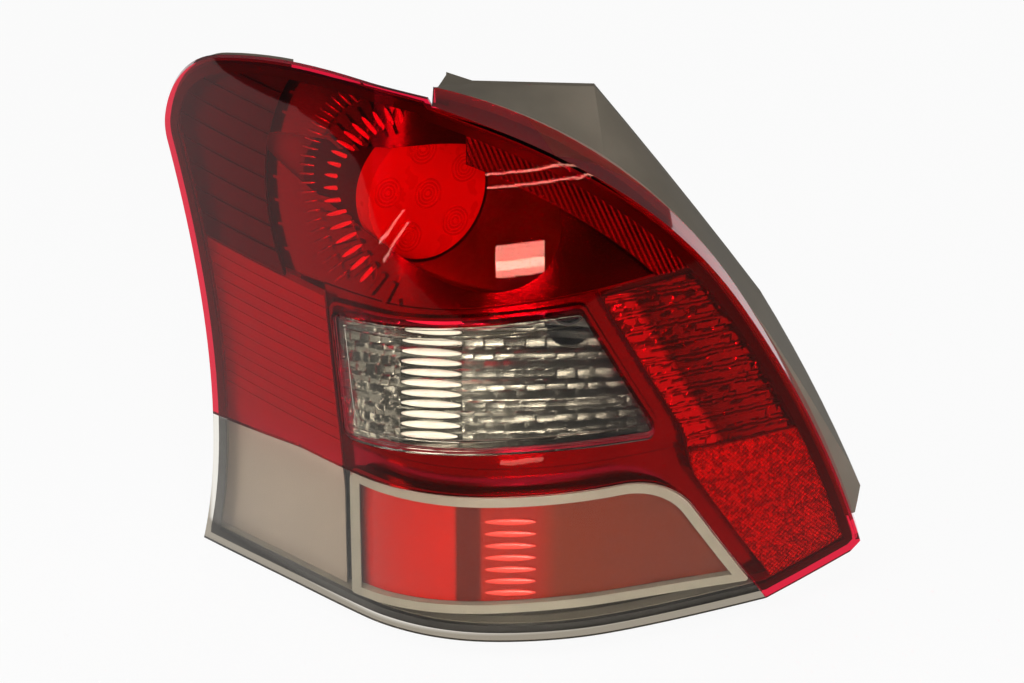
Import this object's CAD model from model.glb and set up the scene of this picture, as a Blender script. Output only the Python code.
"""Finishes, fine optics and studio for a wrap-around tail light cluster.

Everything is in metres in the part's own frame: +X to the right as seen from outside, +Y into the car body,
+Z up, with the origin at the seat of the main stud on the flat back of the housing.
"""

from math import cos, pi, radians, sin, sqrt

import bpy
from bpy.props import FloatProperty, FloatVectorProperty, IntProperty, PointerProperty
from mathutils import Matrix, Vector


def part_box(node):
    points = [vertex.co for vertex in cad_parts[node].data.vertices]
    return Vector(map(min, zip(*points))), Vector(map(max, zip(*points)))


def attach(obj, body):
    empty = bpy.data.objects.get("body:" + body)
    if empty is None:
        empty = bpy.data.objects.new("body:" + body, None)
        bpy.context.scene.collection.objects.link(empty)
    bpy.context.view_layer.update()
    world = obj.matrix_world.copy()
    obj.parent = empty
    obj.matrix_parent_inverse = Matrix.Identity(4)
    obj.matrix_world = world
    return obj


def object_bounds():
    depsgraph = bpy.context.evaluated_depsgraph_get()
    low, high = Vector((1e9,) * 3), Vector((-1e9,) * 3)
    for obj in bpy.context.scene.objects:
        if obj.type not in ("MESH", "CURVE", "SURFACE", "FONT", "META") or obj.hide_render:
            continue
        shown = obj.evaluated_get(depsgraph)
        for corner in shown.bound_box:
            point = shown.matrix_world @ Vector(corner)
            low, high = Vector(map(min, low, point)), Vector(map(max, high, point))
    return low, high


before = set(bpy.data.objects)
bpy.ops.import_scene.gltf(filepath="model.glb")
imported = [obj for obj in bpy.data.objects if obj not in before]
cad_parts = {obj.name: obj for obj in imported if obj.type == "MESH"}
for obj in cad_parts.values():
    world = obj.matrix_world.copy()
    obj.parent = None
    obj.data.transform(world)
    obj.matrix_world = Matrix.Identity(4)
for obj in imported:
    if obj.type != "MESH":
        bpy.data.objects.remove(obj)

bl_info = {
    "name": "Tail Light Cluster",
    "version": (1, 0, 0),
    "blender": (4, 5, 0),
    "location": "View3D > Sidebar > Tail Light",
    "description": "Finishes, optics and studio for a tail light cluster",
    "category": "Object",
}

CAD_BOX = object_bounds()
BODY = "root"

# Camera: where it looks, how far off and how high it stands, and how much of the lamp one pixel shows
LOOK_AT = Vector((0.0110, -0.1080, 0.0046))
CAMERA_DISTANCE = 1.8
CAMERA_ELEVATION = radians(22.0)
IMAGE_WIDTH = 1024
SENSOR_WIDTH = 36.0
PIXEL_SIZE = 0.0005

# LED lamp: middle of its cap's face, the turn of that face towards the tailgate, and its ringed optics
LED_CENTRE = Vector((-0.0320, -0.0360, 0.0575))
LED_TURN = radians(34.0)
LED_RING_RADIUS = 0.0245
LED_RING_COUNT = 5
LED_RING_START = radians(96.0)
RINGS_PER_OPTIC = 4
RING_WIRE_SHARE = 0.26

# Rays that seat the fine optics on the CAD pieces, and the gaps that keep the optics clear of them
INTO_BODY = (0, 1, 0)
RAY_LENGTH = 0.4
RELIEF_GAP = 0.0002
RIB_GAP = 0.0001

# Middle reflector: sides of its column of long pillows, share of the way to the window that its rows come
# forward at the top and at the foot, the pillows' lean, rise and share of a row, and the other cells' tilt
COLUMN_LEFT = -0.0460
COLUMN_RIGHT = -0.0144
NEAR_TOP = 0.30
NEAR_FOOT = 0.84
PILLOW_LEAN = (radians(-24.0), 0, radians(-8.0))
PILLOW_RISE = 0.0020
PILLOW_HALF_SHARE = 0.42
SCALE_TILT = 0.0010
BRICK_TILT = 0.0005

# Patterns of cells: a stride longer than any column, so that each cell has a number of its own, the tilt of
# the tailgate's facets, the height of a rib's cell to its width, and the size of a sparkle to a prism
CELL_STRIDE = 61.0
FACET_TILT = 0.0012
RIB_CELL_HEIGHT = 2.2
SPARKLE_SHARE = 0.7

# Bowl: how far its bars lie behind the face of the red shot
BAR_INSET = 0.0165

# Lower lamp: middle, rows and size of its column of flutes
FLUTE_MIDDLE = 0.010
FLUTE_ROWS = 9
FLUTE_HALF_WIDTH = 0.0135
FLUTE_RISE = 0.0009
FLUTE_HALF_SHARE = 0.26

# Directions that colours change along
ACROSS = (1, 0, 0)
UPWARD = (0, 0, 1)

# Noises of the finishes: the span of a noise that colours spread over, and each one's scale and detail
NOISE_LOW = 0.3
NOISE_HIGH = 0.7
MOTTLE = (45.0, 4.0)
HAZE = (60.0, 3.0)

# Lens plastic: its refraction, kept low so that less of the floor is seen in it, and the scale of its waves
LENS_IOR = 1.27
LENS_WAVE = 34.0

# Studio: half width of the floor, its gap under the lamp, how plain white it looks, and the sky's strength
FLOOR_HALF = 6.0
FLOOR_GAP = 0.0005
FLOOR_WHITE_SHARE = 0.93
SKY_STRENGTH = 0.12


def colour_property(name, words, default):
    """Colour that a user would change."""
    return FloatVectorProperty(
        name=name, description=words, subtype="COLOR", size=3, min=0, max=1, default=default
    )


def length_property(name, words, default):
    """Length in metres that a user would change."""
    return FloatProperty(name=name, description=words, unit="LENGTH", min=0, precision=5, default=default)


class LampLensLook(bpy.types.PropertyGroup):
    """Looks of the outer lens."""

    red: colour_property("Red", "Light that one pass through the red shot leaves", (0.74, 0.010, 0.045))
    clear: colour_property("Clear", "Light that one pass through a clear shot leaves", (0.90, 0.87, 0.80))
    red_gloss: colour_property("Red gloss", "Tint of the red shot's gloss", (0.74, 0.30, 0.22))
    clear_gloss: colour_property("Clear gloss", "Tint of the clear shots' gloss", (0.60, 0.60, 0.60))


class LampBodyLook(bpy.types.PropertyGroup):
    """Looks of the housing and the panels."""

    housing: colour_property("Housing", "Grained grey of the housing", (0.165, 0.142, 0.108))
    bezel: colour_property("Side bezel", "Warm grey of the side bezel", (0.33, 0.28, 0.23))
    pale_bezel: colour_property("Pale bezel", "Warm grey of the side bezel's foot", (0.26, 0.205, 0.165))
    metal: colour_property("Metal film", "Bright metal film of the reflectors", (0.34, 0.32, 0.29))
    dim_metal: colour_property("Dim metal film", "Satin film of the side reflector", (0.10, 0.09, 0.085))
    grain: length_property("Grain", "Size of the moulded grain", 0.0006)


class LampOpticsLook(bpy.types.PropertyGroup):
    """Sizes of the fine optics."""

    scale_width: length_property("Scale width", "Width of a small cell at the window's left", 0.0052)
    pillow_width: length_property("Pillow width", "Width of a pillow at the window's right", 0.0105)
    pillow_rows: IntProperty(name="Pillow rows", description="Rows of pillows behind the window", default=16)
    pillow_crown: length_property("Pillow crown", "Crown of a pillow", 0.0009)
    facet_width: length_property("Facet width", "Width of a facet of the tailgate reflector", 0.0062)
    facet_height: length_property("Facet height", "Height of a facet of the tailgate reflector", 0.0045)
    facet_crown: length_property("Facet crown", "Crown of a facet", 0.0009)
    prism_width: length_property("Prism width", "Width of a prism of the retro-reflector", 0.0026)
    prism_depth: length_property("Prism depth", "Depth of a prism", 0.0009)
    rib_pitch: length_property("Rib pitch", "Pitch of the ribs along the tailgate edge", 0.0026)
    rib_depth: length_property("Rib depth", "Depth of those ribs", 0.0007)
    ring_pitch: length_property("Ring pitch", "Pitch of the rings of an LED optic", 0.0019)
    seed: IntProperty(name="Seed", description="Seed of the facets' tilt", default=7)


class LampStageLook(bpy.types.PropertyGroup):
    """Studio round the lamp."""

    floor: colour_property("Floor", "Pale floor", (0.86, 0.86, 0.86))
    soft_power: FloatProperty(name="Soft light", description="Power of the large soft light", default=13.5)
    strip_glow: FloatProperty(name="Strip light", description="Glow of the lights in the lens", default=55.0)


def add_node(tree, kind, inputs=None, **settings):
    """New node with its settings, and each input either linked or set."""
    node = tree.nodes.new(kind)
    for name, value in settings.items():
        setattr(node, name, value)
    for name, value in (inputs or {}).items():
        if isinstance(value, bpy.types.NodeSocket):
            tree.links.new(value, node.inputs[name])
        else:
            node.inputs[name].default_value = value
    return node


def calc(tree, operation, *values):
    """Output of one arithmetic node."""
    return add_node(tree, "ShaderNodeMath", dict(enumerate(values)), operation=operation).outputs[0]


def new_material(name, colour, **sockets):
    """Material with one Principled shader, whose plain sockets are set by name."""
    material = bpy.data.materials.new(name)
    material.use_nodes = True
    tree = material.node_tree
    shader = tree.nodes["Principled BSDF"]
    shader.inputs["Base Color"].default_value = (*colour, 1)
    for socket, value in sockets.items():
        shader.inputs[socket.replace("_", " ")].default_value = value
    return material, tree, shader


def object_noise(tree, scale, detail=2.0):
    """Noise on Object coordinates, as its factor."""
    place = add_node(tree, "ShaderNodeTexCoord").outputs["Object"]
    noise = add_node(tree, "ShaderNodeTexNoise", {"Vector": place, "Scale": scale, "Detail": detail})
    return noise.outputs["Fac"]


def vary_colour(tree, shader, noise, dark, light):
    """Drives a shader's colour between two colours by a noise."""
    ramp = add_node(tree, "ShaderNodeValToRGB", {"Fac": noise})
    ramp.color_ramp.elements[0].color = (*dark, 1)
    ramp.color_ramp.elements[0].position = NOISE_LOW
    ramp.color_ramp.elements[1].color = (*light, 1)
    ramp.color_ramp.elements[1].position = NOISE_HIGH
    tree.links.new(ramp.outputs["Color"], shader.inputs["Base Color"])


def vary_roughness(tree, shader, noise, low, high):
    """Drives a shader's roughness between two values by a noise."""
    spread = add_node(tree, "ShaderNodeMapRange", {"Value": noise, "To Min": low, "To Max": high})
    tree.links.new(spread.outputs["Result"], shader.inputs["Roughness"])


def bump(tree, shader, height, strength, distance):
    """Gives a shader a bump from a height."""
    node = add_node(tree, "ShaderNodeBump", {"Height": height, "Strength": strength, "Distance": distance})
    tree.links.new(node.outputs["Normal"], shader.inputs["Normal"])


def shaded(colour, factor):
    """Colour made darker or lighter."""
    return tuple(min(1.0, part * factor) for part in colour)


def lens_material(name, colour, gloss=(1, 1, 1)):
    """Clear or tinted moulding, glossy and see-through, that lets light fall into the lamp."""
    material, tree, shader = new_material(name, colour, Roughness=0.02, Transmission_Weight=1.0, IOR=LENS_IOR)
    shader.inputs["Specular Tint"].default_value = (*gloss, 1)
    bump(tree, shader, object_noise(tree, LENS_WAVE), strength=0.008, distance=0.002)
    one_face = [sqrt(part) for part in colour]
    shade = add_node(tree, "ShaderNodeBsdfTransparent", {"Color": (*one_face, 1)})
    path = add_node(tree, "ShaderNodeLightPath")
    falling = path.outputs["Is Shadow Ray"]
    both = add_node(tree, "ShaderNodeMixShader", {0: falling, 1: shader.outputs[0], 2: shade.outputs[0]})
    tree.links.new(both.outputs[0], tree.nodes["Material Output"].inputs["Surface"])
    return material


def moulded_material(name, colour, roughness, grain=0.002, depth=0.0001):
    """Moulded plastic with a fine grain, slight mottling and uneven gloss."""
    material, tree, shader = new_material(name, colour)
    mottle = object_noise(tree, *MOTTLE)
    vary_colour(tree, shader, mottle, dark=shaded(colour, 0.90), light=shaded(colour, 1.08))
    vary_roughness(tree, shader, mottle, low=roughness - 0.05, high=roughness + 0.05)
    bump(tree, shader, object_noise(tree, scale=1 / grain, detail=3.0), strength=0.25, distance=depth)
    return material


def metal_film_material(name, colour, roughness):
    """Vacuum metallised plastic, with slight haze."""
    material, tree, shader = new_material(name, colour, Metallic=1.0)
    haze = object_noise(tree, *HAZE)
    vary_colour(tree, shader, haze, dark=shaded(colour, 0.85), light=shaded(colour, 1.05))
    vary_roughness(tree, shader, haze, low=roughness * 0.7, high=roughness * 1.4)
    return material


def graded(tree, direction, stops):
    """Colour that changes along a direction of Object space, with stops in metres."""
    place = add_node(tree, "ShaderNodeTexCoord").outputs["Object"]
    along = add_node(tree, "ShaderNodeVectorMath", {0: place, 1: direction}, operation="DOT_PRODUCT")
    start, end = stops[0][0], stops[-1][0]
    share = add_node(
        tree, "ShaderNodeMapRange", {"Value": along.outputs["Value"], "From Min": start, "From Max": end}
    )
    ramp = add_node(tree, "ShaderNodeValToRGB", {"Fac": share.outputs["Result"]})
    marks = ramp.color_ramp.elements
    marks[0].color = (*stops[0][1], 1)
    marks[-1].color = (*stops[-1][1], 1)
    for spot, colour in stops[1:-1]:
        marks.new((spot - start) / (end - start)).color = (*colour, 1)
    return ramp.outputs["Color"]


def graded_film_material(name, direction, stops, roughness):
    """Metal film whose brightness changes along a direction."""
    material, tree, shader = new_material(name, stops[0][1], Metallic=1.0)
    tree.links.new(graded(tree, direction, stops), shader.inputs["Base Color"])
    vary_roughness(tree, shader, object_noise(tree, *HAZE), low=roughness * 0.7, high=roughness * 1.4)
    return material


def sparkle(tree, shader, size, dark, light):
    """Gives each small cell of a surface its own brightness."""
    place = add_node(tree, "ShaderNodeTexCoord").outputs["Object"]
    cells = add_node(tree, "ShaderNodeTexVoronoi", {"Vector": place, "Scale": 1 / size})
    chance = add_node(tree, "ShaderNodeSeparateColor", {0: cells.outputs["Color"]})
    vary_colour(tree, shader, chance.outputs[0], dark, light)


def set_finish(material, *nodes):
    """Gives CAD nodes their finish."""
    for name in nodes:
        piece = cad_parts[name]
        if not piece.material_slots:
            piece.data.materials.append(material)
        for slot in piece.material_slots:
            slot.material = material


def socket_id(tree, name):
    """Identifier of a node tree's named input."""
    for item in tree.interface.items_tree:
        if item.item_type == "SOCKET" and item.in_out == "INPUT" and item.name == name:
            return item.identifier
    raise KeyError(name)


def new_tree(name, inputs):
    """Geometry node tree with named inputs, as the tree, its input node and its output node."""
    tree = bpy.data.node_groups.new(name, "GeometryNodeTree")
    tree.interface.new_socket("Geometry", in_out="INPUT", socket_type="NodeSocketGeometry")
    for label, kind in inputs.items():
        tree.interface.new_socket(label, in_out="INPUT", socket_type=kind)
    tree.interface.new_socket("Geometry", in_out="OUTPUT", socket_type="NodeSocketGeometry")
    return tree, add_node(tree, "NodeGroupInput"), add_node(tree, "NodeGroupOutput")


def grown_piece(name, tree, values):
    """Runs a geometry node tree and keeps its result as a plain mesh that rides on the lamp."""
    piece = bpy.data.objects.new(name, bpy.data.meshes.new(name))
    bpy.context.scene.collection.objects.link(piece)
    modifier = piece.modifiers.new("grow", "NODES")
    modifier.node_group = tree
    for label, value in values.items():
        modifier[socket_id(tree, label)] = value
    grown = piece.evaluated_get(bpy.context.evaluated_depsgraph_get())
    mesh = bpy.data.meshes.new_from_object(grown)
    piece.modifiers.remove(modifier)
    piece.data = mesh
    if not mesh.polygons:
        raise RuntimeError(f"{name} came out empty")
    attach(piece, BODY)


SEAT_INPUTS = {
    "Panel": "NodeSocketObject",
    "Material": "NodeSocketMaterial",
    "Front": "NodeSocketObject",
    "Near Top": "NodeSocketFloat",
    "Near Foot": "NodeSocketFloat",
    "Top Level": "NodeSocketFloat",
    "Foot Level": "NodeSocketFloat",
}
RELIEF_INPUTS = {
    **SEAT_INPUTS,
    "Low Corner": "NodeSocketVector",
    "Cell Width": "NodeSocketFloat",
    "Cell Height": "NodeSocketFloat",
    "Columns": "NodeSocketInt",
    "Rows": "NodeSocketInt",
    "Crown": "NodeSocketFloat",
    "Tilt": "NodeSocketFloat",
    "Gap": "NodeSocketFloat",
    "Seed": "NodeSocketInt",
}
LONG_PILLOW_INPUTS = {
    **SEAT_INPUTS,
    "Start": "NodeSocketVector",
    "Step": "NodeSocketVector",
    "Turn": "NodeSocketVector",
    "Count": "NodeSocketInt",
    "Half Size": "NodeSocketVector",
    "Inset": "NodeSocketFloat",
}
FAN_INPUTS = {
    **SEAT_INPUTS,
    "Middle": "NodeSocketVector",
    "Radius": "NodeSocketFloat",
    "First Turn": "NodeSocketFloat",
    "Sweep": "NodeSocketFloat",
    "Count": "NodeSocketInt",
    "Half Size": "NodeSocketVector",
    "Inset": "NodeSocketFloat",
}
RING_INPUTS = {
    "Material": "NodeSocketMaterial",
    "Spots": "NodeSocketInt",
    "Spot Radius": "NodeSocketFloat",
    "Start Turn": "NodeSocketFloat",
    "Ring Pitch": "NodeSocketFloat",
    "Face Place": "NodeSocketVector",
    "Face Turn": "NodeSocketVector",
}


def seat_values(panel, material, near=None):
    """Inputs that seat optics on a CAD panel, or part of the way from it to a piece in front of it."""
    front, near_top, near_foot = near or (panel, 0.0, 0.0)
    low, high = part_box(panel)
    return {
        "Panel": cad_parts[panel],
        "Material": material,
        "Front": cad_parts[front],
        "Near Top": near_top,
        "Near Foot": near_foot,
        "Top Level": high[2],
        "Foot Level": low[2],
    }


def ray_to(tree, sizes, label, place):
    """Ray from each place into the car body, onto the object of a named input."""
    source = {"Object": sizes.outputs[label]}
    target = add_node(tree, "GeometryNodeObjectInfo", source, transform_space="ORIGINAL")
    return add_node(
        tree,
        "GeometryNodeRaycast",
        {
            "Target Geometry": target.outputs["Geometry"],
            "Source Position": place,
            "Ray Direction": INTO_BODY,
            "Ray Length": RAY_LENGTH,
        },
    )


def seat_of(tree, sizes, place):
    """Spot where a ray meets the panel, way from there towards the front piece, and whether it met both."""
    panel = ray_to(tree, sizes, "Panel", place)
    front = ray_to(tree, sizes, "Front", place)
    spot = panel.outputs["Hit Position"]
    ends = {0: spot, 1: front.outputs["Hit Position"]}
    way = add_node(tree, "ShaderNodeVectorMath", ends, operation="SUBTRACT")
    depth = add_node(tree, "ShaderNodeSeparateXYZ", {0: way.outputs[0]}).outputs["Y"]
    share = add_node(
        tree,
        "ShaderNodeMapRange",
        {
            "Value": add_node(tree, "ShaderNodeSeparateXYZ", {0: place}).outputs["Z"],
            "From Min": sizes.outputs["Foot Level"],
            "From Max": sizes.outputs["Top Level"],
            "To Min": sizes.outputs["Near Foot"],
            "To Max": sizes.outputs["Near Top"],
        },
    )
    met = {0: panel.outputs["Is Hit"], 1: front.outputs["Is Hit"]}
    both = add_node(tree, "FunctionNodeBooleanMath", met, operation="AND")
    return spot, calc(tree, "MULTIPLY", depth, share.outputs["Result"]), both.outputs[0]


def end_tree(tree, sizes, result, geometry):
    """Ends a tree with its instances realised, in their material."""
    real = add_node(tree, "GeometryNodeRealizeInstances", {"Geometry": geometry})
    finish = {"Geometry": real.outputs[0], "Material": sizes.outputs["Material"]}
    dressed = add_node(tree, "GeometryNodeSetMaterial", finish)
    tree.links.new(dressed.outputs[0], result.inputs["Geometry"])


def pillow_height(tree, sizes, across, up):
    """Crowned cells in bricked rows, each tilted by its own amount."""
    row = calc(tree, "FLOOR", up)
    shift = calc(tree, "MULTIPLY", calc(tree, "PINGPONG", row, 1.0), 0.5)
    column_place = calc(tree, "ADD", across, shift)
    column = calc(tree, "FLOOR", column_place)
    side = calc(tree, "SUBTRACT", calc(tree, "FRACT", column_place), 0.5)
    level = calc(tree, "SUBTRACT", calc(tree, "FRACT", up), 0.5)
    bow = calc(tree, "ADD", calc(tree, "MULTIPLY", side, side), calc(tree, "MULTIPLY", level, level))
    crown = calc(tree, "MULTIPLY", calc(tree, "SUBTRACT", 0.5, bow), sizes.outputs["Crown"])
    cell = calc(tree, "ADD", calc(tree, "MULTIPLY", column, CELL_STRIDE), row)
    chance = add_node(
        tree,
        "FunctionNodeRandomValue",
        {"Min": (-1, -1, -1), "Max": (1, 1, 1), "ID": cell, "Seed": sizes.outputs["Seed"]},
        data_type="FLOAT_VECTOR",
    )
    lean = add_node(tree, "ShaderNodeSeparateXYZ", {0: chance.outputs[0]})
    sideways = calc(tree, "MULTIPLY", lean.outputs["X"], side)
    upwards = calc(tree, "MULTIPLY", lean.outputs["Y"], level)
    tilt = calc(tree, "MULTIPLY", calc(tree, "ADD", sideways, upwards), sizes.outputs["Tilt"])
    return calc(tree, "ADD", crown, tilt)


def prism_height(tree, sizes, across, up):
    """Four-sided prisms set corner to corner."""
    rise = calc(tree, "FRACT", calc(tree, "ADD", across, up))
    fall = calc(tree, "FRACT", calc(tree, "SUBTRACT", across, up))
    first = calc(tree, "ABSOLUTE", calc(tree, "SUBTRACT", rise, 0.5))
    second = calc(tree, "ABSOLUTE", calc(tree, "SUBTRACT", fall, 0.5))
    top = calc(tree, "SUBTRACT", 1.0, calc(tree, "ADD", first, second))
    return calc(tree, "MULTIPLY", top, sizes.outputs["Crown"])


def rib_height(tree, sizes, across, up):
    """Slanting ribs with sharp ridges, half as deep as the crown."""
    saw = calc(tree, "FRACT", calc(tree, "ADD", across, up))
    ridge = calc(tree, "ABSOLUTE", calc(tree, "SUBTRACT", saw, 0.5))
    return calc(tree, "MULTIPLY", ridge, sizes.outputs["Crown"])


def relief_tree(name, height_of, steps):
    """Tree that drapes a fine grid over the front of a panel and raises a pattern of cells on it."""
    tree, sizes, result = new_tree(name, RELIEF_INPUTS)
    width = calc(tree, "MULTIPLY", sizes.outputs["Cell Width"], sizes.outputs["Columns"])
    height = calc(tree, "MULTIPLY", sizes.outputs["Cell Height"], sizes.outputs["Rows"])
    grid = add_node(
        tree,
        "GeometryNodeMeshGrid",
        {
            "Size X": width,
            "Size Y": height,
            "Vertices X": calc(tree, "MULTIPLY_ADD", sizes.outputs["Columns"], steps, 1.0),
            "Vertices Y": calc(tree, "MULTIPLY_ADD", sizes.outputs["Rows"], steps, 1.0),
        },
    )
    half_width = calc(tree, "MULTIPLY", width, 0.5)
    half_height = calc(tree, "MULTIPLY", height, 0.5)
    half = add_node(tree, "ShaderNodeCombineXYZ", {"X": half_width, "Z": half_height})
    corner = sizes.outputs["Low Corner"]
    middle = add_node(tree, "ShaderNodeVectorMath", {0: corner, 1: half.outputs[0]}, operation="ADD")
    upright = add_node(
        tree,
        "GeometryNodeTransform",
        {"Geometry": grid.outputs["Mesh"], "Translation": middle.outputs[0], "Rotation": (pi / 2, 0, 0)},
    )
    place = add_node(tree, "GeometryNodeInputPosition").outputs[0]
    spot, nearer, met = seat_of(tree, sizes, place)
    kept = add_node(tree, "GeometryNodeCaptureAttribute", {"Geometry": upright.outputs[0]})
    kept.capture_items.new("BOOLEAN", "Met")
    tree.links.new(met, kept.inputs["Met"])
    from_corner = add_node(tree, "ShaderNodeVectorMath", {0: place, 1: corner}, operation="SUBTRACT")
    parts = add_node(tree, "ShaderNodeSeparateXYZ", {0: from_corner.outputs[0]})
    across = calc(tree, "DIVIDE", parts.outputs["X"], sizes.outputs["Cell Width"])
    up = calc(tree, "DIVIDE", parts.outputs["Z"], sizes.outputs["Cell Height"])
    stand = calc(tree, "ADD", sizes.outputs["Gap"], nearer)
    lift = calc(tree, "ADD", height_of(tree, sizes, across, up), stand)
    forward = add_node(tree, "ShaderNodeCombineXYZ", {"Y": calc(tree, "MULTIPLY", lift, -1.0)})
    draped = add_node(
        tree,
        "GeometryNodeSetPosition",
        {"Geometry": kept.outputs["Geometry"], "Position": spot, "Offset": forward.outputs[0]},
    )
    missed = add_node(tree, "FunctionNodeBooleanMath", {0: kept.outputs["Met"]}, operation="NOT")
    trimmed = add_node(
        tree,
        "GeometryNodeDeleteGeometry",
        {"Geometry": draped.outputs[0], "Selection": missed.outputs[0]},
        domain="POINT",
    )
    end_tree(tree, sizes, result, trimmed.outputs[0])
    return tree


def relief_on(
    name, panel, tree, material, seed, cell, crown,
    tilt=0.0, gap=RELIEF_GAP, start=None, columns=None, near=None,
):
    """Piece of fine relief over the front of one CAD panel, all of it or some columns from a start corner."""
    low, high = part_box(panel)
    start = start or (low[0], low[2])
    width, height = cell
    values = {
        **seat_values(panel, material, near),
        "Low Corner": (start[0], CAD_BOX[0][1] - width, start[1]),
        "Cell Width": width,
        "Cell Height": height,
        "Columns": columns or int((high[0] - start[0]) / width) + 1,
        "Rows": int((high[2] - start[1]) / height) + 1,
        "Crown": crown,
        "Tilt": tilt,
        "Gap": gap,
        "Seed": seed,
    }
    grown_piece(name, tree, values)


def seated_pillows(tree, sizes, result, points, turns):
    """Seats a rounded bar behind each point, at a depth from the panel, and ends the tree."""
    place = add_node(tree, "GeometryNodeInputPosition").outputs[0]
    spot, nearer, met = seat_of(tree, sizes, place)
    missed = add_node(tree, "FunctionNodeBooleanMath", {0: met}, operation="NOT")
    hits = add_node(tree, "GeometryNodeDeleteGeometry", {"Geometry": points, "Selection": missed.outputs[0]})
    inset = calc(tree, "SUBTRACT", sizes.outputs["Inset"], nearer)
    back = add_node(tree, "ShaderNodeCombineXYZ", {"Y": inset})
    seated = add_node(
        tree,
        "GeometryNodeSetPosition",
        {"Geometry": hits.outputs[0], "Position": spot, "Offset": back.outputs[0]},
    )
    ball = add_node(tree, "GeometryNodeMeshUVSphere", {"Segments": 20, "Rings": 10, "Radius": 1.0})
    smooth = add_node(tree, "GeometryNodeSetShadeSmooth", {"Geometry": ball.outputs["Mesh"]})
    bar = add_node(
        tree, "GeometryNodeTransform", {"Geometry": smooth.outputs[0], "Scale": sizes.outputs["Half Size"]}
    )
    bars = add_node(
        tree,
        "GeometryNodeInstanceOnPoints",
        {"Points": seated.outputs[0], "Instance": bar.outputs[0], "Rotation": turns},
    )
    end_tree(tree, sizes, result, bars.outputs[0])


def long_pillow_tree():
    """Tree that seats a column of long pillows on a panel, one above the other."""
    tree, sizes, result = new_tree("long_pillows", LONG_PILLOW_INPUTS)
    line = add_node(
        tree,
        "GeometryNodeMeshLine",
        {
            "Count": sizes.outputs["Count"],
            "Start Location": sizes.outputs["Start"],
            "Offset": sizes.outputs["Step"],
        },
    )
    seated_pillows(tree, sizes, result, line.outputs["Mesh"], sizes.outputs["Turn"])
    return tree


def bar_fan_tree():
    """Tree that seats a fan of bars behind a panel's face, each pointing at the fan's middle."""
    tree, sizes, result = new_tree("bar_fan", FAN_INPUTS)
    line = add_node(tree, "GeometryNodeMeshLine", {"Count": sizes.outputs["Count"]})
    index = add_node(tree, "GeometryNodeInputIndex").outputs[0]
    share = calc(tree, "DIVIDE", index, calc(tree, "SUBTRACT", sizes.outputs["Count"], 1.0))
    swept = calc(tree, "MULTIPLY", share, sizes.outputs["Sweep"])
    turn = calc(tree, "ADD", sizes.outputs["First Turn"], swept)
    out = add_node(
        tree,
        "ShaderNodeCombineXYZ",
        {
            "X": calc(tree, "MULTIPLY", calc(tree, "COSINE", turn), sizes.outputs["Radius"]),
            "Z": calc(tree, "MULTIPLY", calc(tree, "SINE", turn), sizes.outputs["Radius"]),
        },
    )
    spot = add_node(
        tree, "ShaderNodeVectorMath", {0: sizes.outputs["Middle"], 1: out.outputs[0]}, operation="ADD"
    )
    fanned = add_node(
        tree, "GeometryNodeSetPosition", {"Geometry": line.outputs["Mesh"], "Position": spot.outputs[0]}
    )
    kept = add_node(tree, "GeometryNodeCaptureAttribute", {"Geometry": fanned.outputs[0]})
    kept.capture_items.new("FLOAT", "Turn")
    tree.links.new(turn, kept.inputs["Turn"])
    aim = calc(tree, "MULTIPLY", kept.outputs["Turn"], -1.0)
    pointing = add_node(tree, "ShaderNodeCombineXYZ", {"Y": aim})
    seated_pillows(tree, sizes, result, kept.outputs["Geometry"], pointing.outputs[0])
    return tree


class LAMP_OT_outer_lens(bpy.types.Operator):
    """Finishes the red and clear shots of the outer lens"""

    bl_idname = "lamp.outer_lens"
    bl_label = "Outer lens"

    def execute(self, context):
        lens = context.scene.lamp_lens
        set_finish(lens_material("red_lens", lens.red, lens.red_gloss), "lens_red")
        set_finish(lens_material("clear_lens", lens.clear, lens.clear_gloss), "lens_clear_window")
        lower = lens_material("clear_lower_lens", lens.clear, lens.clear_gloss)
        tree = lower.node_tree
        smoky = (0.34, 0.30, 0.24)
        along_side_rim = (1, 0, -0.0544)
        foot = graded(tree, UPWARD, [(-0.1625, smoky), (-0.1600, lens.clear)])
        side = graded(tree, along_side_rim, [(-0.1480, smoky), (-0.1460, lens.clear)])
        both = add_node(tree, "ShaderNodeMix", {"Factor": 1.0}, data_type="RGBA", blend_type="DARKEN")
        tree.links.new(foot, both.inputs["A"])
        tree.links.new(side, both.inputs["B"])
        tree.links.new(both.outputs["Result"], tree.nodes["Principled BSDF"].inputs["Base Color"])
        set_finish(lower, "lens_clear_lower")
        return {"FINISHED"}


class LAMP_OT_housing(bpy.types.Operator):
    """Finishes the grained housing, the sealant and the gasket"""

    bl_idname = "lamp.housing"
    bl_label = "Housing"

    def execute(self, context):
        body = context.scene.lamp_body
        set_finish(moulded_material("grained_grey", body.housing, 0.6, body.grain, 0.0004), "housing")
        set_finish(moulded_material("sealant", (0.012, 0.010, 0.009), 0.5, 0.002, 0.0003), "lens_seal")
        set_finish(moulded_material("foam", (0.02, 0.02, 0.02), 0.9, 0.0012, 0.0008), "back_gasket")
        return {"FINISHED"}


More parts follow.
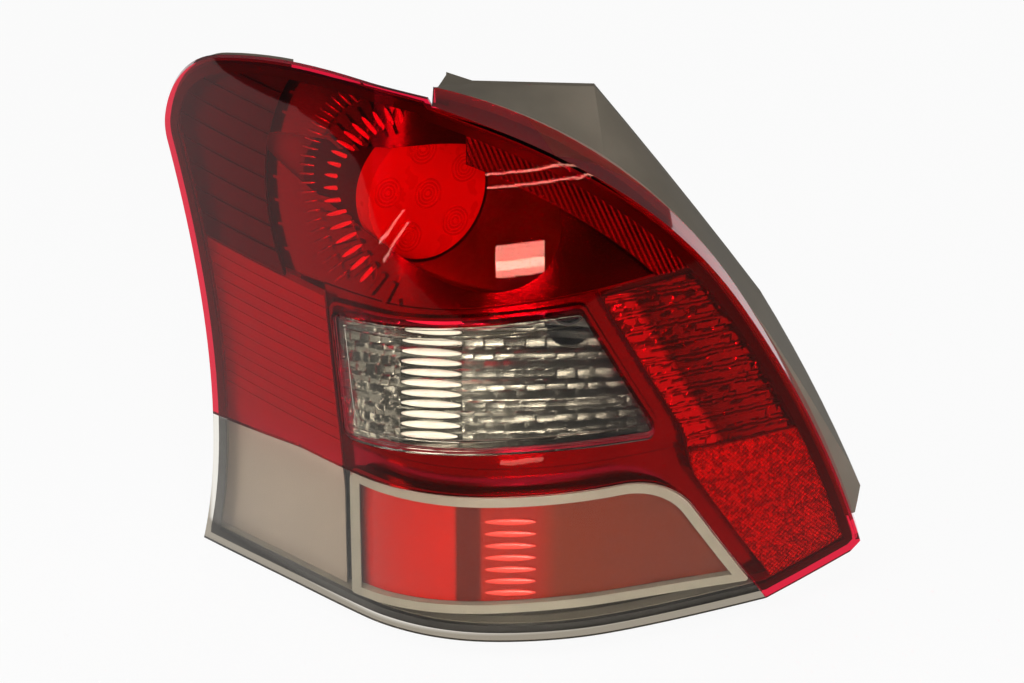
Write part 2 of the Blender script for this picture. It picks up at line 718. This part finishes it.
class LAMP_OT_reflectors(bpy.types.Operator):
    """Finishes the metal-film reflectors and the grey panels"""

    bl_idname = "lamp.reflectors"
    bl_label = "Reflectors"

    def execute(self, context):
        body = context.scene.lamp_body
        bright = metal_film_material("metal_film", body.metal, 0.16)
        dim = metal_film_material("dim_metal_film", body.dim_metal, 0.34)
        set_finish(bright, "middle_reflector", "lower_reflector", "right_reflector")
        bowl_stops = [(-0.040, body.metal), (0.010, (0.11, 0.10, 0.09))]
        set_finish(graded_film_material("bowl_film", ACROSS, bowl_stops, 0.16), "bowl_reflector")
        set_finish(dim, "upper_side_reflector", "edge_trim")
        grey, tree, shader = new_material("bezel_grey", body.bezel)
        stops = [(-0.097, body.pale_bezel), (-0.086, body.bezel)]
        tree.links.new(graded(tree, UPWARD, stops), shader.inputs["Base Color"])
        vary_roughness(tree, shader, object_noise(tree, *MOTTLE), low=0.4, high=0.5)
        set_finish(grey, "side_bezel")
        set_finish(moulded_material("pale_frame", (0.23, 0.205, 0.165), 0.35, 0.001, 0.0001), "lower_bezel")
        return {"FINISHED"}


class LAMP_OT_window_pillows(bpy.types.Operator):
    """Builds the scales, the column of long pillows and the bricks of the middle reflector"""

    bl_idname = "lamp.window_pillows"
    bl_label = "Window pillows"

    def execute(self, context):
        optics = context.scene.lamp_optics
        tree = relief_tree("pillow_rows", pillow_height, steps=8.0)
        low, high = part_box("lens_clear_window")
        pitch = (high[2] - low[2]) / optics.pillow_rows
        near = ("lens_clear_window", NEAR_TOP, NEAR_FOOT)
        scale_stops = [(-0.08, (0.16, 0.15, 0.12)), (-0.05, (0.30, 0.28, 0.24))]
        brick_stops = [(-0.015, (0.34, 0.32, 0.27)), (0.01, (0.13, 0.12, 0.10)), (0.06, (0.035, 0.03, 0.025))]
        scale_film = graded_film_material("scale_film", ACROSS, scale_stops, 0.2)
        column_film = metal_film_material("column_film", (0.20, 0.19, 0.16), 0.2)
        brick_film = graded_film_material("brick_film", ACROSS, brick_stops, 0.22)
        scales = int((COLUMN_LEFT - low[0]) / optics.scale_width)
        scale_left = COLUMN_LEFT - scales * optics.scale_width
        long_width = COLUMN_RIGHT - COLUMN_LEFT
        bands = (
            ("window_scales", scale_film, scale_left, optics.scale_width, scales, SCALE_TILT),
            ("window_column", column_film, COLUMN_LEFT, long_width, 1, 0.0),
            ("window_bricks", brick_film, COLUMN_RIGHT, optics.pillow_width, None, BRICK_TILT),
        )
        for name, film, left, width, columns, tilt in bands:
            relief_on(
                name,
                "middle_reflector",
                tree,
                film,
                optics.seed,
                cell=(width, pitch),
                crown=optics.pillow_crown,
                tilt=tilt,
                start=(left, low[2]),
                columns=columns,
                near=near,
            )
        white = moulded_material("long_pillow_white", (0.80, 0.76, 0.68), 0.3)
        values = {
            **seat_values("middle_reflector", white, near),
            "Start": ((COLUMN_LEFT + COLUMN_RIGHT) / 2, CAD_BOX[0][1], low[2] + pitch / 2),
            "Step": (0, 0, pitch),
            "Turn": PILLOW_LEAN,
            "Count": optics.pillow_rows,
            "Half Size": (long_width / 2, PILLOW_RISE, pitch * PILLOW_HALF_SHARE),
            "Inset": 0.0,
        }
        grown_piece("window_long_pillows", long_pillow_tree(), values)
        return {"FINISHED"}


class LAMP_OT_bowl_bars(bpy.types.Operator):
    """Builds the bright bars beside the LED lamp and the dim ones round them"""

    bl_idname = "lamp.bowl_bars"
    bl_label = "Bowl bars"

    def execute(self, context):
        tree = bar_fan_tree()
        bright = moulded_material("bright_bar_film", (0.85, 0.80, 0.72), 0.3)
        dim = metal_film_material("dim_bar_film", (0.55, 0.50, 0.45), 0.25)
        middle = (LED_CENTRE.x, CAD_BOX[0][1], LED_CENTRE.z)
        fans = {
            "bowl_bars": {
                **seat_values("lens_red", bright),
                "Radius": 0.0465,
                "First Turn": radians(106.0),
                "Sweep": radians(124.0),
                "Count": 18,
                "Half Size": (0.0066, 0.0012, 0.0012),
            },
            "bowl_outer_bars": {
                **seat_values("lens_red", dim),
                "Radius": 0.0620,
                "First Turn": radians(120.0),
                "Sweep": radians(104.0),
                "Count": 26,
                "Half Size": (0.0050, 0.0010, 0.0008),
            },
        }
        for name, fan in fans.items():
            values = {**fan, "Middle": middle, "Inset": BAR_INSET}
            grown_piece(name, tree, values)
        return {"FINISHED"}


class LAMP_OT_tailgate_facets(bpy.types.Operator):
    """Builds the facets of the tailgate reflector"""

    bl_idname = "lamp.tailgate_facets"
    bl_label = "Tailgate facets"

    def execute(self, context):
        optics = context.scene.lamp_optics
        tree = relief_tree("facet_rows", pillow_height, steps=6.0)
        beside_divider = (1.0, 0.0, 0.555)
        strip = (0.85, 0.80, 0.74)
        dark = (0.20, 0.18, 0.16)
        stops = [(0.066, strip), (0.078, strip), (0.082, dark), (0.110, (0.45, 0.42, 0.38))]
        material = graded_film_material("facet_film", beside_divider, stops, 0.14)
        relief_on(
            "tailgate_facets",
            "right_reflector",
            tree,
            material,
            optics.seed,
            cell=(optics.facet_width, optics.facet_height),
            crown=optics.facet_crown,
            tilt=FACET_TILT,
        )
        return {"FINISHED"}


class LAMP_OT_retro_prisms(bpy.types.Operator):
    """Builds the prisms of the retro-reflector"""

    bl_idname = "lamp.retro_prisms"
    bl_label = "Retro prisms"

    def execute(self, context):
        optics = context.scene.lamp_optics
        tree = relief_tree("prism_rows", prism_height, steps=8.0)
        dark = (0.34, 0.010, 0.010)
        light = (0.74, 0.038, 0.032)
        material, shader_tree, shader = new_material("retro_red", light, Metallic=0.7)
        vary_roughness(shader_tree, shader, object_noise(shader_tree, scale=90.0), low=0.12, high=0.26)
        sparkle(shader_tree, shader, optics.prism_width * SPARKLE_SHARE, dark, light)
        set_finish(material, "reflex_reflector")
        relief_on(
            "retro_prisms",
            "reflex_reflector",
            tree,
            material,
            optics.seed,
            cell=(optics.prism_width, optics.prism_width),
            crown=optics.prism_depth,
        )
        return {"FINISHED"}


class LAMP_OT_edge_ribs(bpy.types.Operator):
    """Builds the slanting ribs of the trim along the tailgate edge"""

    bl_idname = "lamp.edge_ribs"
    bl_label = "Edge ribs"

    def execute(self, context):
        body = context.scene.lamp_body
        optics = context.scene.lamp_optics
        tree = relief_tree("rib_rows", rib_height, steps=6.0)
        material = metal_film_material("rib_film", shaded(body.metal, 1.2), 0.18)
        relief_on(
            "edge_ribs",
            "edge_trim",
            tree,
            material,
            optics.seed,
            cell=(optics.rib_pitch, optics.rib_pitch * RIB_CELL_HEIGHT),
            crown=optics.rib_depth * 2,
            gap=RIB_GAP,
        )
        return {"FINISHED"}


def ring_tree(rings):
    """Tree that puts a set of round ridges on the middle of the LED lamp and on each spot of its ring."""
    tree, sizes, result = new_tree("ring_optics", RING_INPUTS)
    pitch = sizes.outputs["Ring Pitch"]
    wire = calc(tree, "MULTIPLY", pitch, RING_WIRE_SHARE)
    profile = add_node(tree, "GeometryNodeCurvePrimitiveCircle", {"Resolution": 8, "Radius": wire})
    ridges = add_node(tree, "GeometryNodeJoinGeometry")
    for ring in range(rings):
        radius = calc(tree, "MULTIPLY", pitch, ring + 1.0)
        loop = add_node(tree, "GeometryNodeCurvePrimitiveCircle", {"Resolution": 40, "Radius": radius})
        curves = {"Curve": loop.outputs["Curve"], "Profile Curve": profile.outputs["Curve"]}
        ridge = add_node(tree, "GeometryNodeCurveToMesh", curves)
        tree.links.new(ridge.outputs[0], ridges.inputs[0])
    circle = {"Vertices": sizes.outputs["Spots"], "Radius": sizes.outputs["Spot Radius"]}
    spots = add_node(tree, "GeometryNodeMeshCircle", circle)
    start = add_node(tree, "ShaderNodeCombineXYZ", {"Z": sizes.outputs["Start Turn"]})
    turned = add_node(
        tree, "GeometryNodeTransform", {"Geometry": spots.outputs["Mesh"], "Rotation": start.outputs[0]}
    )
    middle = add_node(tree, "GeometryNodeMeshLine", {"Count": 1})
    places = add_node(tree, "GeometryNodeJoinGeometry")
    tree.links.new(turned.outputs[0], places.inputs[0])
    tree.links.new(middle.outputs[0], places.inputs[0])
    sets = add_node(
        tree, "GeometryNodeInstanceOnPoints", {"Points": places.outputs[0], "Instance": ridges.outputs[0]}
    )
    faced = add_node(
        tree,
        "GeometryNodeTransform",
        {
            "Geometry": sets.outputs[0],
            "Translation": sizes.outputs["Face Place"],
            "Rotation": sizes.outputs["Face Turn"],
        },
    )
    end_tree(tree, sizes, result, faced.outputs[0])
    return tree


class LAMP_OT_led_rings(bpy.types.Operator):
    """Builds the round ridges on the face of the LED lamp's cap"""

    bl_idname = "lamp.led_rings"
    bl_label = "LED rings"

    def execute(self, context):
        optics = context.scene.lamp_optics
        material, tree, shader = new_material("ring_red", (0.60, 0.008, 0.010), Coat_Weight=0.4)
        vary_roughness(tree, shader, object_noise(tree, scale=80.0), low=0.15, high=0.3)
        values = {
            "Material": material,
            "Spots": LED_RING_COUNT,
            "Spot Radius": LED_RING_RADIUS,
            "Start Turn": LED_RING_START,
            "Ring Pitch": optics.ring_pitch,
            "Face Place": LED_CENTRE,
            "Face Turn": (pi / 2, 0, LED_TURN),
        }
        grown_piece("led_rings", ring_tree(RINGS_PER_OPTIC), values)
        return {"FINISHED"}


class LAMP_OT_led_lamp(bpy.types.Operator):
    """Finishes the LED lamp"""

    bl_idname = "lamp.led_lamp"
    bl_label = "LED lamp"

    def execute(self, context):
        cap, tree, shader = new_material(
            "opal_red",
            (0.72, 0.012, 0.030),
            Transmission_Weight=0.1,
            Subsurface_Weight=0.3,
            Subsurface_Radius=(0.01, 0.002, 0.002),
        )
        vary_roughness(tree, shader, object_noise(tree, scale=80.0), low=0.22, high=0.36)
        set_finish(cap, "led_lens")
        set_finish(lens_material("led_optic", (0.85, 0.10, 0.08)), "led_optics")
        set_finish(moulded_material("led_ceramic", (0.75, 0.62, 0.25), 0.5, 0.0006, 0.0001), "led_emitters")
        set_finish(moulded_material("solder_mask", (0.7, 0.7, 0.66), 0.4, 0.001, 0.0001), "led_board")
        return {"FINISHED"}


class LAMP_OT_lower_lamp(bpy.types.Operator):
    """Finishes the lower lamp's inner lens and builds its flutes"""

    bl_idname = "lamp.lower_lamp"
    bl_label = "Lower lamp"

    def execute(self, context):
        bright = (0.44, 0.010, 0.005)
        dark = (0.10, 0.010, 0.006)
        fluted = (0.30, 0.014, 0.007)
        brown = (0.15, 0.020, 0.007)
        stops = [(-0.066, dark), (-0.063, bright), (-0.019, bright), (-0.017, dark), (-0.006, dark)]
        stops += [(-0.004, fluted), (0.022, fluted), (0.034, brown), (0.130, (0.12, 0.018, 0.007))]
        inner, tree, shader = new_material(
            "inner_red", bright, Transmission_Weight=0.2, Specular_IOR_Level=0.12
        )
        tree.links.new(graded(tree, ACROSS, stops), shader.inputs["Base Color"])
        vary_roughness(tree, shader, object_noise(tree, scale=60.0), low=0.12, high=0.22)
        set_finish(inner, "lower_inner_lens")
        low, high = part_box("lower_inner_lens")
        pitch = (high[2] - low[2]) / FLUTE_ROWS
        pink = moulded_material("flute_pink", (0.72, 0.045, 0.030), 0.25)
        values = {
            **seat_values("lower_inner_lens", pink),
            "Start": (FLUTE_MIDDLE, CAD_BOX[0][1], low[2] + pitch / 2),
            "Step": (0, 0, pitch),
            "Turn": (0, 0, 0),
            "Count": FLUTE_ROWS - 1,
            "Half Size": (FLUTE_HALF_WIDTH, FLUTE_RISE, pitch * FLUTE_HALF_SHARE),
            "Inset": 0.0,
        }
        grown_piece("lower_flutes", long_pillow_tree(), values)
        return {"FINISHED"}


class LAMP_OT_back_fittings(bpy.types.Operator):
    """Finishes the bulbs, holders, connector, studs, pin and vents"""

    bl_idname = "lamp.back_fittings"
    bl_label = "Back fittings"

    def execute(self, context):
        black = moulded_material("black_plastic", (0.022, 0.022, 0.022), 0.45, 0.0007, 0.0003)
        rubber = moulded_material("black_rubber", (0.015, 0.015, 0.015), 0.8, 0.0009, 0.0004)
        set_finish(black, "led_carrier", "middle_bulb_holder", "lower_bulb_holder", "led_connector")
        set_finish(rubber, "middle_holder_seal", "lower_holder_seal", "vent_caps")
        zinc = metal_film_material("zinc_steel", (0.52, 0.50, 0.44), 0.34)
        set_finish(zinc, "mounting_studs", "led_screws")
        set_finish(metal_film_material("tinned_brass", (0.66, 0.58, 0.40), 0.25), "connector_terminals")
        set_finish(moulded_material("white_plastic", (0.68, 0.66, 0.60), 0.4, 0.001, 0.0002), "locating_pin")
        set_finish(lens_material("bulb_glass", (0.96, 0.96, 0.95)), "middle_bulb", "lower_bulb")
        return {"FINISHED"}


def area_light(name, width, height, power, place, turn):
    """Rectangular light, as its object."""
    light = bpy.data.lights.new(name, "AREA")
    light.shape = "RECTANGLE"
    light.size = width
    light.size_y = height
    light.energy = power
    lamp = bpy.data.objects.new(name, light)
    lamp.location = place
    lamp.rotation_euler = turn
    bpy.context.scene.collection.objects.link(lamp)
    return lamp


def soft_light(name, place, aim, width, height, power):
    """Rectangular soft light that faces a point and is not seen in gloss."""
    turn = (Vector(aim) - Vector(place)).to_track_quat("-Z", "Y").to_euler()
    area_light(name, width, height, power, place, turn).visible_glossy = False


def strip_light(name, start, end, aim, height, glow):
    """Light between two points that faces a third, seen in gloss with the given glow."""
    length = (Vector(end) - Vector(start)).length
    along = (Vector(end) - Vector(start)).normalized()
    middle = (Vector(start) + Vector(end)) / 2
    back = middle - Vector(aim)
    back = (back - back.dot(along) * along).normalized()
    turn = Matrix((along, back.cross(along), back)).transposed().to_euler()
    area_light(name, length, height, glow * pi * length * height, middle, turn)


def seen_white(tree, lit):
    """Mixes the floor's shader with plain white, for rays that look at it."""
    path = add_node(tree, "ShaderNodeLightPath")
    eye = calc(tree, "MAXIMUM", path.outputs["Is Camera Ray"], path.outputs["Is Glossy Ray"])
    any_look = calc(tree, "MAXIMUM", eye, path.outputs["Is Transmission Ray"])
    share = calc(tree, "MULTIPLY", any_look, FLOOR_WHITE_SHARE)
    white = add_node(tree, "ShaderNodeEmission")
    return add_node(tree, "ShaderNodeMixShader", {0: share, 1: lit.outputs["BSDF"], 2: white.outputs[0]})


class LAMP_OT_stage(bpy.types.Operator):
    """Sets the floor, the studio lights and the camera"""

    bl_idname = "lamp.stage"
    bl_label = "Stage"

    def execute(self, context):
        scene = context.scene
        stage = scene.lamp_stage
        scene.view_settings.view_transform = "Standard"

        mesh = bpy.data.meshes.new("floor")
        half = FLOOR_HALF
        level = CAD_BOX[0][2] - FLOOR_GAP
        corners = [(-half, -half, level), (half, -half, level), (half, half, level), (-half, half, level)]
        mesh.from_pydata(corners, [], [(0, 1, 2, 3)])
        floor = bpy.data.objects.new("floor", mesh)
        scene.collection.objects.link(floor)
        material, tree, shader = new_material("pale_floor", stage.floor, Roughness=0.9)
        mixed = seen_white(tree, shader)
        tree.links.new(mixed.outputs[0], tree.nodes["Material Output"].inputs["Surface"])
        mesh.materials.append(material)

        world = bpy.data.worlds.new("studio")
        world.use_nodes = True
        scene.world = world
        sky = world.node_tree.nodes["Background"]
        sky.inputs["Strength"].default_value = SKY_STRENGTH
        sky.inputs["Color"].default_value = (1, 1, 1, 1)

        middle = (0.0, -0.06, -0.02)
        soft_light("soft_top", (-0.5, -0.9, 1.7), middle, 1.4, 1.0, stage.soft_power)
        soft_light("soft_left", (-1.7, -0.4, 0.5), middle, 0.5, 0.9, stage.soft_power * 0.4)
        soft_light("soft_back", (0.4, 1.8, 1.2), middle, 1.4, 0.9, stage.soft_power * 0.7)
        glow = stage.strip_glow
        tubes = (0.026, -0.080, 0.083)
        strip_light("tube_high", (-0.09, -1.52, 0.490), (0.92, -1.22, 0.440), tubes, 0.007, glow)
        strip_light("tube_low", (-0.08, -1.53, 0.440), (0.98, -1.20, 0.390), tubes, 0.007, glow)
        bright = (0.0145, -0.093, 0.042)
        strip_light("bright_panel", (0.03, -1.60, 0.183), (0.53, -1.52, 0.183), bright, 0.11, glow)
        strip_light("bright_core", (0.03, -1.59, 0.165), (0.53, -1.51, 0.165), bright, 0.03, glow * 1.5)
        pair = (-0.049, -0.076, 0.053)
        strip_light("pair_left", (-1.330, -0.890, 0.170), (-1.520, -0.460, -0.040), pair, 0.012, glow * 0.5)
        strip_light("pair_right", (-1.260, -0.940, 0.150), (-1.470, -0.530, -0.070), pair, 0.012, glow * 0.5)
        streak = (0.015, -0.107, -0.069)
        strip_light("low_streak", (0.020, -0.400, -0.165), (0.125, -0.390, -0.165), streak, 0.006, glow * 0.3)

        data = bpy.data.cameras.new("photo_view")
        data.sensor_width = SENSOR_WIDTH
        data.lens = SENSOR_WIDTH * CAMERA_DISTANCE / (IMAGE_WIDTH * PIXEL_SIZE)
        camera = bpy.data.objects.new("photo_view", data)
        away = Vector((0, -cos(CAMERA_ELEVATION), sin(CAMERA_ELEVATION)))
        camera.location = LOOK_AT + CAMERA_DISTANCE * away
        camera.rotation_euler = (-away).to_track_quat("-Z", "Y").to_euler()
        scene.collection.objects.link(camera)
        scene.camera = camera
        return {"FINISHED"}


class LAMP_PT_panel(bpy.types.Panel):
    """Tail light tools in the sidebar"""

    bl_idname = "LAMP_PT_panel"
    bl_label = "Tail Light"
    bl_space_type = "VIEW_3D"
    bl_region_type = "UI"
    bl_category = "Tail Light"

    def draw(self, context):
        column = self.layout.column()
        for step in STEPS:
            column.operator(step.bl_idname)
        for look in LOOKS:
            group = getattr(context.scene, look)
            for name in group.__annotations__:
                column.prop(group, name)


LOOKS = {
    "lamp_lens": LampLensLook,
    "lamp_body": LampBodyLook,
    "lamp_optics": LampOpticsLook,
    "lamp_stage": LampStageLook,
}
STEPS = (
    LAMP_OT_outer_lens,
    LAMP_OT_housing,
    LAMP_OT_reflectors,
    LAMP_OT_window_pillows,
    LAMP_OT_bowl_bars,
    LAMP_OT_tailgate_facets,
    LAMP_OT_retro_prisms,
    LAMP_OT_edge_ribs,
    LAMP_OT_led_lamp,
    LAMP_OT_led_rings,
    LAMP_OT_lower_lamp,
    LAMP_OT_back_fittings,
    LAMP_OT_stage,
)


def register():
    """Registers the settings, operators and panel."""
    for name, group in LOOKS.items():
        bpy.utils.register_class(group)
        setattr(bpy.types.Scene, name, PointerProperty(type=group))
    for kind in (*STEPS, LAMP_PT_panel):
        bpy.utils.register_class(kind)


def unregister():
    """Removes them again."""
    for kind in (LAMP_PT_panel, *reversed(STEPS)):
        bpy.utils.unregister_class(kind)
    for name, group in reversed(LOOKS.items()):
        delattr(bpy.types.Scene, name)
        bpy.utils.unregister_class(group)


def main():
    """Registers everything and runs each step."""
    register()
    for step in STEPS:
        group, name = step.bl_idname.split(".")
        getattr(getattr(bpy.ops, group), name)()


if __name__ == "__main__":
    main()
